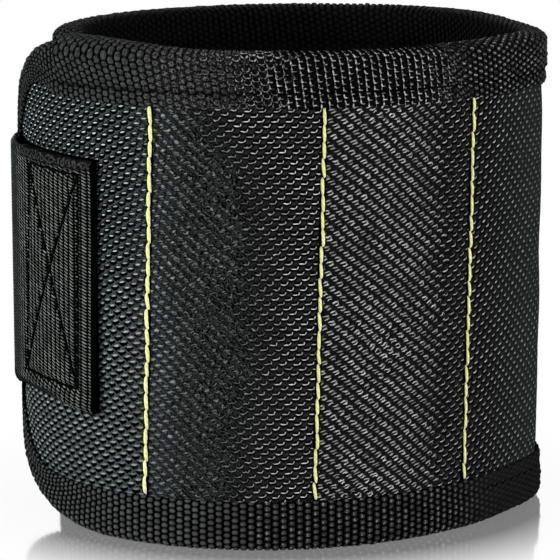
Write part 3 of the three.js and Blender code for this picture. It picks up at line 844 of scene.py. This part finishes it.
STRETCHES = {
    "tongue": (CLOTH_INSET, DIVIDERS[1], "strap_end", ["foam_strap_end"]),
    "front": (DIVIDERS[1], DIVIDERS[3], "front", ["magnet_carrier_1", "magnet_carrier_2"]),
    "side": (DIVIDERS[3], DIVIDERS[5], "side", ["magnet_carrier_3", "magnet_carrier_4"]),
    "loop_end": (DIVIDERS[5], BAND_LENGTH - CLOTH_INSET, "loop_end", ["magnet_carrier_5", "foam_loop_end"]),
}
for stretch, (low, high, node, fill) in STRETCHES.items():
    stations = np.linspace(low, high, round((high - low) / 0.8) + 1)
    shell = slab(stations, 96, cloth_edges(stations), shell_face, SHELL_BACK)
    made = piece(f"padded_shell_{stretch}", *shell, SHELL)
    carry(made, stretch, "shell_cloth", f"shell_{node}", *fill)
    stations = np.linspace(low, high, round((high - low) / 1.2) + 1)
    lining = slab(stations, 64, cloth_edges(stations), LINING_BACK, lining_face)
    made = piece(f"padded_lining_{stretch}", *lining, LINING)
    carry(made, stretch, "lining_mesh", f"lining_{node}")


# Edge binding: one tape folded over the rim, with its knots in the mesh
def tape_section():
    """Points across the tape, from its outside edge over the rim to its inside edge.

    Gives w in from the rim, d out through the layers, and how far across the tape each point lies.
    """
    middle, half = (FACE_OUT + FACE_IN) / 2, (FACE_OUT - FACE_IN) / 2
    turn = np.linspace(math.pi / 2, -math.pi / 2, 400)
    leg = np.linspace(TAPE_WIDTH, FOLD_DEEP, 300)[:-1]
    fold = FOLD_DEEP - (FOLD_DEEP - KNOT_HIGH) * np.clip(np.cos(turn), 0, 1) ** 0.75
    w = np.concatenate([leg, fold, leg[::-1]])
    outside, inside = np.full_like(leg, FACE_OUT), np.full_like(leg, FACE_IN)
    d = np.concatenate([outside, middle + half * np.sin(turn), inside])
    across = np.concatenate([[0], np.cumsum(np.hypot(np.diff(w), np.diff(d)))])
    rows = 2 * round(across[-1] / KNOT_ROW / 2)
    at = np.linspace(0, across[-1], rows * 4 + 1)
    return np.interp(at, across, w), np.interp(at, across, d), at / across[-1] * rows * KNOT_ROW


SECTION_W, SECTION_D, SECTION_T = tape_section()
OUTSIDE_LEG = (SECTION_D > FACE_OUT - 0.01) & (SECTION_W > FOLD_DEEP - 0.01)
INSIDE_LEG = (SECTION_D < FACE_IN + 0.01) & (SECTION_W > FOLD_DEEP - 0.01)
normal_w, normal_d = np.gradient(SECTION_D), -np.gradient(SECTION_W)
normal_length = np.hypot(normal_w, normal_d) * np.sign(normal_d[0])
NORMAL_W, NORMAL_D = normal_w / normal_length, normal_d / normal_length


def straight(z, start, end):
    """Points of a straight stretch of rim: s and z, then the way in from it."""
    s = np.linspace(start, end, max(2, round(abs(end - start) / 0.2)))
    inward = 1.0 if z < MID_HEIGHT else -1.0
    return np.stack([s, np.full_like(s, z), np.zeros_like(s), np.full_like(s, inward)], 1)


def quarter(corner, start, end):
    """Points of a rounded corner of the rim: s and z, then the way in from it."""
    cs, cz, a, b = corner
    angle = np.radians(np.linspace(start, end, 200))
    inward = np.stack([-np.cos(angle) / a, -np.sin(angle) / b], 1)
    inward /= np.linalg.norm(inward, axis=1)[:, None]
    return np.concatenate([np.stack([cs + a * np.cos(angle), cz + b * np.sin(angle)], 1), inward], 1)


RIMS = {
    "tongue": [
        straight(BAND_HEIGHT, DIVIDERS[1] + SPARE, TONGUE_TOP[0]),
        quarter(TONGUE_TOP, 90, 180),
        quarter(TONGUE_BOTTOM, 180, 270),
        straight(0.0, TONGUE_BOTTOM[0], DIVIDERS[1] + SPARE),
    ],
    "front_top": [straight(BAND_HEIGHT, DIVIDERS[3] + SPARE, DIVIDERS[1] - SPARE)],
    "front_bottom": [straight(0.0, DIVIDERS[1] - SPARE, DIVIDERS[3] + SPARE)],
    "side_top": [straight(BAND_HEIGHT, DIVIDERS[5] + SPARE, DIVIDERS[3] - SPARE)],
    "side_bottom": [straight(0.0, DIVIDERS[3] - SPARE, DIVIDERS[5] + SPARE)],
    "loop_end": [
        straight(0.0, DIVIDERS[5] - SPARE, LOOP_END_FROM),
        quarter(LOOP_END_BOTTOM, 270, 360),
        quarter(LOOP_END_TOP, 0, 90),
        straight(BAND_HEIGHT, LOOP_END_FROM, DIVIDERS[5] - SPARE),
    ],
}


class Rim:
    """A stretch of rim, with its length measured from where its tape starts."""

    def __init__(self, legs):
        self.path = np.concatenate([legs[0], *[leg[1:] for leg in legs[1:]]])
        leg = np.linalg.norm(np.diff(self.path[:, :2], axis=0), axis=1)
        self.at = np.concatenate([[0], np.cumsum(leg)]) - SPARE
        self.length = self.at[-1] - SPARE
        self.columns = 2 * round(self.length / KNOT_PITCH / 2)

    def place(self, q, w):
        """Flat-pattern place at q along the rim and w in from it, and how top-like the rim is there."""
        s, z, ins, inz = [np.interp(q, self.at, self.path[:, k]) for k in range(4)]
        return s + w * ins, z + w * inz, np.clip(-inz, 0, 1)


def knots(column, row, seed):
    """Height of the tape's knots from 0 to 1, by column and row of the weave."""
    i = np.floor(column)
    x = column - i - 0.5
    across = row + 0.5 * (i % 2)
    j = np.floor(across)
    y = across - j - 0.5
    jitter = np.random.default_rng(seed).normal(1, 0.12, (2000, 60))
    size = jitter[np.clip(i, 0, 1999).astype(int), np.clip(j, 0, 59).astype(int)]
    return dome(2 * x, 2.6) * dome(2 * y, 2.6) * size


def tape_lift(column, w, wide, rim_s, top, seed):
    """How far the tape's face stands out: its knots and lapped corner, less its seam and its edges."""
    legs = OUTSIDE_LEG | INSIDE_LEG
    past_seam = w - np.where(OUTSIDE_LEG, wide, TAPE_WIDTH) + SEAM_FROM_EDGE
    groove = 0.28 * np.exp(-((past_seam / 0.5) ** 2)) * legs
    strip = 1 - 0.35 * smooth(0, 0.6, past_seam) * legs
    flattened = 0.25 + 0.75 * smooth(3.0, 12.0, rim_s)
    lift = KNOT_HIGH * knots(column, SECTION_T / KNOT_ROW, seed) * strip * flattened - groove
    lap = smooth(29.0, 29.7, rim_s) * (1 - smooth(36.0, 62.0, rim_s)) * top
    lift += 1.4 * lap * (1 - smooth(1.0, 7.5, w)) * (1 - INSIDE_LEG)
    lift += 0.20 * top * smooth(135.0, 165.0, rim_s) * (1 - smooth(1.0, 3.0, w))
    row = np.arange(len(SECTION_T))
    return lift - 0.30 * (1 - smooth(0, 3, np.minimum(row, row[::-1])))


def binding(name, rim, seed):
    column = np.arange(rim.columns * 4 + 1)[:, None] / 4
    q = column / rim.columns * rim.length
    rim_s, rim_z, top = rim.place(q, 0)
    wide = tape_width(rim_s, rim_z)
    share = (wide - FOLD_DEEP) / (TAPE_WIDTH - FOLD_DEEP)
    w = np.where(OUTSIDE_LEG, FOLD_DEEP + (SECTION_W - FOLD_DEEP) * share, SECTION_W)
    lift = tape_lift(column, w, wide, rim_s, top, seed)
    q = q - 0.145 * top * (SECTION_T[-1] / 2 - SECTION_T)
    s, z, _ = rim.place(q, w + NORMAL_W * lift)
    outer = wrap(s, z, SECTION_D + NORMAL_D * lift)
    pick = np.linspace(0, len(SECTION_T) - 1, 15).round().astype(int)[::-1]
    under_s, under_z, _ = rim.place(q[:, pick], (w - NORMAL_W * 0.5)[:, pick])
    inner = wrap(under_s, under_z, (SECTION_D - NORMAL_D * 0.5)[pick])
    points = np.concatenate([outer, inner], 1)
    n, m = points.shape[:2]
    ring = list(range(m))
    faces = grid_faces(n, m, wrap_m=True, flip=True).tolist()
    faces += [ring, [(n - 1) * m + k for k in ring[::-1]]]
    rows = np.concatenate([SECTION_T, SECTION_T[pick]])
    weave = np.stack(np.broadcast_arrays(column * KNOT_PITCH, rows), -1)
    band = np.stack([np.concatenate([s, under_s], 1), np.concatenate([z, under_z], 1)], -1)
    return piece(name, points, faces, {"cloth": weave, "band": band}, TAPE, 60)


def seam_stitches(name, rim):
    """Black stitches down in the seam, outside and inside."""
    count = round(rim.length / SEAM_STITCH)
    hole = np.linspace(0, rim.length, count + 1)
    rim_s, rim_z, _ = rim.place(hole, 0)
    outside = rim.place(hole, tape_width(rim_s, rim_z) - SEAM_FROM_EDGE)
    inside = rim.place(hole, TAPE_WIDTH - SEAM_FROM_EDGE)
    runs = []
    for (s, z, _), face, down in ((outside, FACE_OUT, -1), (inside, FACE_IN, 1)):
        holes = np.stack([s, z], 1)
        gap = 0.06 * np.diff(holes, axis=0)
        for a, b in zip(holes[:-1] + gap, holes[1:] - gap):
            runs.append((*a, *b, face + 0.12 * down, face + 0.45 * down))
    return strands(runs, (0.22, 0.16), name, BLACK, sides=6, along=7)


for number, (name, legs) in enumerate(RIMS.items()):
    rim = Rim(legs)
    stretch = name.removesuffix("_top").removesuffix("_bottom")
    node = "strap_end" if name == "tongue" else name
    carry(binding(f"binding_tape_{name}", rim, number), stretch, "binding_tape", f"binding_{node}")
    carry(seam_stitches(f"binding_seam_{name}", rim), stretch, "black_thread")


# Yellow divider stitches, which lean in their line: the first line's are fuller, the fourth's lie deeper
STITCH_STRETCH = ["tongue", "front_panel", "front", "side_panel", "side", "loop_end"]
LINE_FROM, LINE_TO = TAPE_WIDTH - 0.4, BAND_HEIGHT - TAPE_WIDTH + 0.1
for k, stretch in enumerate(STITCH_STRETCH):
    runs = []
    half = 0.37 if k == 0 else 0.31
    sunk = 0.25 if k == 3 else 0.0
    heights = np.linspace(LINE_FROM, LINE_TO, round((LINE_TO - LINE_FROM) / STITCH) + 1)
    heights[1:-1] += 0.22 * random.normal(size=len(heights) - 2)
    for z0, z1 in zip(heights[:-1], heights[1:]):
        shift = 0.06 * random.normal()
        tilt = 0.12 + 0.05 * random.normal()
        s0 = line_at(k, z0) + shift + tilt
        s1 = line_at(k, z1) + shift - tilt
        runs.append((s0, z0 - 0.10, s1, z1 + 0.10, 0.08 - sunk, -0.20 - sunk))
    name = f"yellow_stitches_{k + 1}"
    made = strands(runs, (half, 0.26), name, YELLOW, sides=10, along=13, blunt=0.16)
    carry(made, stretch, "yellow_thread", f"divider_stitch_{k + 1}")


# Strap: one length of webbing, folded double where it is sewn down
BOX = [(17.8, 28.0), (36.0, 27.5), (36.5, 66.7), (20.6, 67.1)]
BOX_RUNS = [*zip(BOX, BOX[1:] + BOX[:1]), (BOX[0], BOX[2]), (BOX[1], BOX[3])]


def from_box_stitch(s, z):
    """Distance to the nearest line of the boxed cross."""
    best = np.full(np.shape(s), np.inf)
    for (s0, z0), (s1, z1) in BOX_RUNS:
        ds, dz = s1 - s0, z1 - z0
        t = np.clip(((s - s0) * ds + (z - z0) * dz) / (ds * ds + dz * dz), 0, 1)
        best = np.minimum(best, np.hypot(s - s0 - t * ds, z - z0 - t * dz))
    return best


def strap_lift(s, z):
    """The sewn end stands off the shell a little, most at its lower corner."""
    return (0.10 + 0.30 * smooth(60, 26, z)) * smooth(28, 38.5, s)


def strap_under(s, z):
    free = SEWN_UNDER + (FLAP_UNDER - SEWN_UNDER) * smooth(0, 20, -s)
    return np.where(s < 0, free, SEWN_UNDER - DOUBLED_DEEP * smooth(14.5, 16.5, s))


def strap_face(s, z):
    under = np.where(s < 0, strap_under(s, z), SEWN_UNDER - 0.1 * smooth(10, 18, s))
    rib = 0.16 * dome(2 * (s / RIB_PITCH - np.floor(s / RIB_PITCH) - 0.5)) - 0.12
    edge = np.minimum(z - strap_low(s), strap_top(s) - z)
    rounded = -0.60 * (1 - smooth(0, 0.8, edge))
    puffed = 0.16 * smooth(3.4, 1.6, edge) * smooth(8, 12, s)
    sewn = -0.45 * np.exp(-((from_box_stitch(s, z) / 0.6) ** 2))
    turned_down = -(0.80 - 0.20 * smooth(60, 26, z)) * smooth(STRAP_SEWN - 4.0, STRAP_SEWN, s)
    return under + STRAP_THICK + rib + rounded + puffed + sewn + turned_down + strap_lift(s, z)


def strap_edges(s):
    """The strap's lower and upper edges, with rounded corners at its tip."""
    across = np.clip((STRAP_TIP - s) / STRAP_TIP_CORNER + 1, 0, 1)
    short = STRAP_TIP_CORNER * (1 - dome(across))
    return strap_low(s) + short, strap_top(s) - short


quarter_rib = RIB_PITCH / 4
ribs = np.arange(math.ceil(STRAP_TIP / quarter_rib), math.floor(STRAP_SEWN / quarter_rib) + 1) * quarter_rib
stations = np.concatenate([[STRAP_TIP], ribs, [STRAP_SEWN - 0.4, STRAP_SEWN - 0.12, STRAP_SEWN]])
stations = np.unique(np.round(stations, 3))
strap = piece("strap_webbing", *slab(stations, 116, strap_edges(stations), strap_face, strap_under), WEBBING)
tuple(wrap(1.5, 45, 2))
tuple(wrap(-9.0, 45, 1))
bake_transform(strap)
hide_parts("strap_anchor", "strap_flap")

runs = []
for a, b in BOX_RUNS:
    holes = np.linspace(a, b, round(math.dist(a, b) / BOX_STITCH) + 1)
    for (s0, z0), (s1, z1) in zip(holes[:-1], holes[1:]):
        lift = strap_lift((s0 + s1) / 2, (z0 + z1) / 2)
        runs.append((s0, z0, s1, z1, 1.70 + lift, 1.38 + lift))
made = strands(runs, (0.27, 0.24), "strap_box_stitches", BLACK)
carry(made, "strap_end", "black_thread", "strap_box_stitch")


# Hook and loop
HOOK_FROM, HOOK_TO, HOOK_LOW, HOOK_HIGH = -54.0, -24.0, 27.5, 67.5
HOOK_BACK, HOOK_FACE, HOOK_ROOT = -4.75, -5.12, -5.1
LOOP_FROM, LOOP_TO, LOOP_LOW, LOOP_HIGH = 213.3, 298.3, 15.0, 75.0
LOOP_BACK, LOOP_FACE = 0.15, 0.88


def hook_patch():
    """The patch's backing, and rows of hooks that lean by turns up and down."""
    stations = np.linspace(HOOK_FROM, HOOK_TO, 34)
    backing, faces, maps = slab(stations, 40, (HOOK_LOW, HOOK_HIGH), HOOK_BACK, HOOK_FACE)
    points, flat = [backing], [maps["cloth"]]
    count = len(backing)
    rings, sides = 4, 5
    angle = np.linspace(0, 2 * math.pi, sides, endpoint=False)
    rise = np.array([0.0, 0.4, 0.56, 0.6])[:, None]
    lean = np.array([0.0, 0.02, 0.16, 0.36])[:, None]
    thick = np.array([0.12, 0.1, 0.09, 0.03])[:, None]
    for i, s in enumerate(np.arange(HOOK_FROM + 0.8, HOOK_TO - 0.5, HOOK_PITCH)):
        way = 1 if i % 2 else -1
        for z in np.arange(HOOK_LOW + 0.8 + 0.5 * (i % 2), HOOK_HIGH - 0.5, HOOK_ROW):
            at_s = s + thick * np.cos(angle)
            at_z = z + way * lean + thick * np.sin(angle)
            points.append(wrap(at_s, at_z, HOOK_ROOT - rise).reshape(-1, 3))
            flat.append(np.stack([at_s, at_z], -1).reshape(-1, 2))
            faces += grid_faces(rings, sides, count, wrap_m=True).tolist()
            count += rings * sides
            faces.append(list(range(count - sides, count)))
    return piece("hook_patch_pile", np.concatenate(points), faces, {"cloth": np.concatenate(flat)}, HOOK)


def loop_face(s, z):
    edge = np.minimum.reduce([s - LOOP_FROM, LOOP_TO - s, z - LOOP_LOW, LOOP_HIGH - z])
    tufts = 0.10 * np.sin(2.1 * s + 1.7 * np.sin(0.9 * z)) * np.sin(2.4 * z + 1.3 * np.sin(0.8 * s))
    sewn = 0.25 * np.exp(-(((edge - 2.2) / 0.5) ** 2))
    return LOOP_FACE + tufts - 0.45 * (1 - smooth(0, 1.2, edge)) - sewn


carry(hook_patch(), "strap_flap", "hook_tape", "hook_patch")
stations = np.linspace(LOOP_FROM, LOOP_TO, 200)
loop = slab(stations, 140, (LOOP_LOW, LOOP_HIGH), loop_face, LOOP_BACK)
carry(piece("loop_patch_pile", *loop, LOOP), "loop_end", "loop_tape", "loop_patch")

# The magnets stay as they are, inside the padding
for name, node in frame["nodes"].items():
    if name.startswith("magnet_") and "carrier" not in name:
        node.data.materials.clear()
        node.data.materials.append(METAL)


# Stage, light and camera, in metres
STAGE_HALF, BACKDROP_AT = 8, 6
MIRROR_REACH, MIRROR_SHARE = 0.0765, 0.82
FILL_LIGHT = 0.14
DISTANCE, ELEVATION = 0.5434, math.radians(10.367)
AIM_HEIGHT = MID_HEIGHT / 1000


def stage_sheet(name, near, far, material):
    """A flat sheet, from its near left corner to its far right one."""
    (left, front, low), (right, back, high) = near, far
    corners = [(left, front, low), (right, front, low), (right, back, high), (left, back, high)]
    mesh = bpy.data.meshes.new(name)
    mesh.from_pydata(corners, [], [(0, 1, 2, 3)])
    mesh.materials.append(material)
    put(name, mesh)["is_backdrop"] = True


def stage_floor():
    """White floor with a mirror finish that shows near the cuff and runs out to plain white."""
    g = Material("floor", Metallic=0.94, Roughness=0.10)
    place = g.in_space()
    g.finish(g.mix(g.noise(place, 30.0), grey(0.97), grey(0.99)))
    mirror = Value(g, g.shader.outputs[0])
    plain = g.node("ShaderNodeBsdfDiffuse", {"Color": grey(0.7)})
    glow = g.node("ShaderNodeEmission", {"Strength": 1.0})
    x, y = g.first_two(place)
    near = (MIRROR_REACH - (x**2.0 + (y * 1.09) ** 2.0).root()) * 36.0
    near = g.node("ShaderNodeClamp", {"Value": near, "Max": MIRROR_SHARE})
    return g.show(g.surface(g.ray("Camera"), plain, g.surface(near, glow, mirror)))


def stage_backdrop():
    """White backdrop behind the cuff, plain white to the eye and in the floor's reflection."""
    g = Material("backdrop")
    g.finish(g.mix(g.noise(g.in_space(), 3.0), grey(0.28), grey(0.30)), 0.9)
    glow = g.node("ShaderNodeEmission", {"Strength": 1.0})
    return g.show(g.surface(g.seen(), Value(g, g.shader.outputs[0]), glow))


back_left, back_right = (-STAGE_HALF, BACKDROP_AT, 0), (STAGE_HALF, BACKDROP_AT, 0)
stage_sheet("floor", (-STAGE_HALF, -STAGE_HALF, 0), back_right, stage_floor())
stage_sheet("backdrop", back_left, (STAGE_HALF, BACKDROP_AT, STAGE_HALF), stage_backdrop())


def lamp(name, place, power, wide, high, colour=(1, 1, 1)):
    """A softbox that is turned to the cuff."""
    data = bpy.data.lights.new(name, "AREA")
    data.shape = "RECTANGLE"
    data.size, data.size_y = wide, high
    data.energy, data.color = power, colour
    made = put(name, data)
    made.location = place
    made.rotation_euler = (Vector((0, 0, AIM_HEIGHT)) - Vector(place)).to_track_quat("-Z", "Y").to_euler()


lamp("left_softbox", (-0.95, -0.12, 0.20), 11.0, 0.4, 0.4, (0.94, 0.99, 1.0))
lamp("right_softbox", (0.50, -0.88, 0.18), 8.0, 0.35, 0.35, (1.0, 0.995, 0.98))
lamp("top_softbox", (0.0, 0.35, 1.0), 4.0, 1.0, 0.6)
lamp("back_softbox", (0.45, 1.0, 0.22), 5.0, 0.4, 0.4)

scene.world = bpy.data.worlds.new("studio")
scene.world.use_nodes = True
studio = Graph(scene.world.node_tree)
sky = studio.tree.nodes["Background"]
sky.inputs["Color"].default_value = (1, 1, 1, 1)
strength = studio.node("ShaderNodeMapRange", {"Value": studio.seen(), "To Min": FILL_LIGHT})
studio.feed(sky.inputs["Strength"], strength)

view = bpy.data.cameras.new("camera")
view.lens, view.sensor_width = 181.06, 36.0
view.shift_x, view.shift_y = -0.0187, -0.0407
view.clip_start, view.clip_end = 0.01, 50.0
camera = put("camera", view)
away, up = DISTANCE * math.cos(ELEVATION), DISTANCE * math.sin(ELEVATION)
camera.location = (SHIFT_X / 1000, SHIFT_Y / 1000 - away, AIM_HEIGHT + up)
camera.rotation_euler = (math.pi / 2 - ELEVATION, 0, 0)
scene.camera = camera
scene.view_settings.view_transform = "Standard"

low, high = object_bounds()
